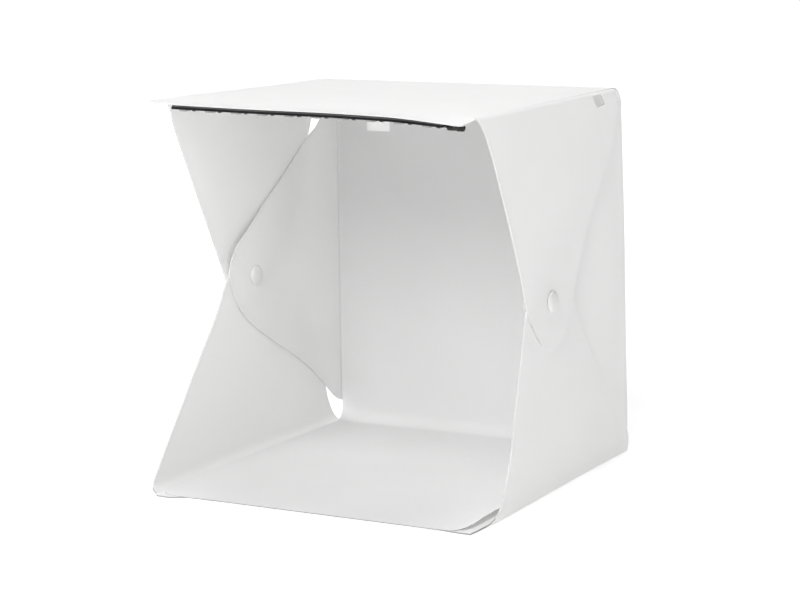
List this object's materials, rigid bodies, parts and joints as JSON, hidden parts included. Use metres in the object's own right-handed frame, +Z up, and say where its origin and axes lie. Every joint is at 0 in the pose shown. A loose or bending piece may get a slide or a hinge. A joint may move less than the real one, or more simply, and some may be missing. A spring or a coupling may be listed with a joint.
{
  "type": "light tent cube",
  "caption": "Folding white photo light tent: an open-fronted cube bent from one translucent sheet, with snap-joined side flaps, a curved backdrop and a light strip under its front lip.",
  "frame": {"origin": "on the ground, under the middle of the cube", "axes": "+Z up, +X to the right as seen from the open front, +Y to the back"},
  "size_m": [0.234, 0.228, 0.24],
  "materials": {
    "sheet": "translucent white sheet, fine satin grain",
    "crease": "translucent white sheet, thinned at the fold",
    "backdrop": "matt white",
    "patch": "fuzzy white loop",
    "snap": "glossy white",
    "tape": "grey foam tape",
    "board": "matt black",
    "lamp": "glossy, pale yellow",
    "resistor": "matt black",
    "inlet": "matt black",
    "lead": "black insulation"
  },
  "bodies": {
    "base": {"base_panel": "sheet", "base_crease": "crease", "backdrop_floor": "backdrop", "backdrop_crease": "backdrop", "left_base_flap_crease": "crease", "right_base_flap_crease": "crease"},
    "back": {"back_panel": "sheet", "backdrop_wall": "backdrop", "top_crease": "crease", "left_backdrop_patch": "patch", "right_backdrop_patch": "patch", "left_back_flap_crease": "crease", "right_back_flap_crease": "crease"},
    "top": {"top_panel": "sheet", "light_strip_tape": "tape", "light_strip_board": "board", "front_lead": "lead", "rear_lead": "lead", "power_inlet": "inlet", "led_01": "lamp", "led_02": "lamp", "led_03": "lamp", "led_04": "lamp", "led_05": "lamp", "led_06": "lamp", "led_07": "lamp", "led_08": "lamp", "led_09": "lamp", "led_10": "lamp", "resistor_01": "resistor", "resistor_02": "resistor", "resistor_03": "resistor", "resistor_04": "resistor", "resistor_05": "resistor", "resistor_06": "resistor", "resistor_07": "resistor", "resistor_08": "resistor", "resistor_09": "resistor", "resistor_10": "resistor", "left_top_flap_crease": "crease", "right_top_flap_crease": "crease"},
    "left_top_flap": {"left_top_flap": "sheet", "left_outer_cap": "snap", "left_outer_socket": "snap"},
    "left_base_flap": {"left_base_flap": "sheet", "left_middle_stud": "snap", "left_middle_socket": "snap"},
    "left_back_flap": {"left_back_flap": "sheet", "left_inner_stud": "snap", "left_inner_cap": "snap"},
    "right_top_flap": {"right_top_flap": "sheet", "right_outer_cap": "snap", "right_outer_socket": "snap"},
    "right_base_flap": {"right_base_flap": "sheet", "right_middle_stud": "snap", "right_middle_socket": "snap"},
    "right_back_flap": {"right_back_flap": "sheet", "right_inner_stud": "snap", "right_inner_cap": "snap"}
  },
  "joints": [
    {"name": "back_panel_hinge", "type": "hinge", "parent": "base", "child": "back", "pos_m": [0, 0.11314, 0.00086], "axis": [-1, 0, 0], "range_deg": [0, 90], "deforming": ["base_crease", "backdrop_crease"]},
    {"name": "top_panel_hinge", "type": "hinge", "parent": "back", "child": "top", "pos_m": [0, 0.111, 0.237], "axis": [-1, 0, 0], "range_deg": [0, 90], "deforming": ["top_crease"]},
    {"name": "left_top_flap_hinge", "type": "hinge", "parent": "top", "child": "left_top_flap", "pos_m": [-0.11193, 0, 0.23893], "axis": [0, 1, 0], "range_deg": [0, 140], "deforming": ["left_top_flap_crease"]},
    {"name": "left_base_flap_hinge", "type": "hinge", "parent": "base", "child": "left_base_flap", "pos_m": [-0.11442, 0, 0.00258], "axis": [0, -1, 0], "range_deg": [0, 90], "deforming": ["left_base_flap_crease"]},
    {"name": "left_back_flap_hinge", "type": "hinge", "parent": "back", "child": "left_back_flap", "pos_m": [-0.1086, 0.1111, 0], "axis": [0, 0, 1], "range_deg": [0, 75], "deforming": ["left_back_flap_crease"]},
    {"name": "right_top_flap_hinge", "type": "hinge", "parent": "top", "child": "right_top_flap", "pos_m": [0.11193, 0, 0.23893], "axis": [0, -1, 0], "range_deg": [0, 140], "deforming": ["right_top_flap_crease"]},
    {"name": "right_base_flap_hinge", "type": "hinge", "parent": "base", "child": "right_base_flap", "pos_m": [0.11442, 0, 0.00258], "axis": [0, 1, 0], "range_deg": [0, 90], "deforming": ["right_base_flap_crease"]},
    {"name": "right_back_flap_hinge", "type": "hinge", "parent": "back", "child": "right_back_flap", "pos_m": [0.1086, 0.1111, 0], "axis": [0, 0, -1], "range_deg": [0, 83], "deforming": ["right_back_flap_crease"]}
  ],
  "couplings": [
    {"joint": "left_base_flap_hinge", "follows": "left_top_flap_hinge", "ratio": 0.64},
    {"joint": "right_base_flap_hinge", "follows": "right_top_flap_hinge", "ratio": 0.64}
  ]
}
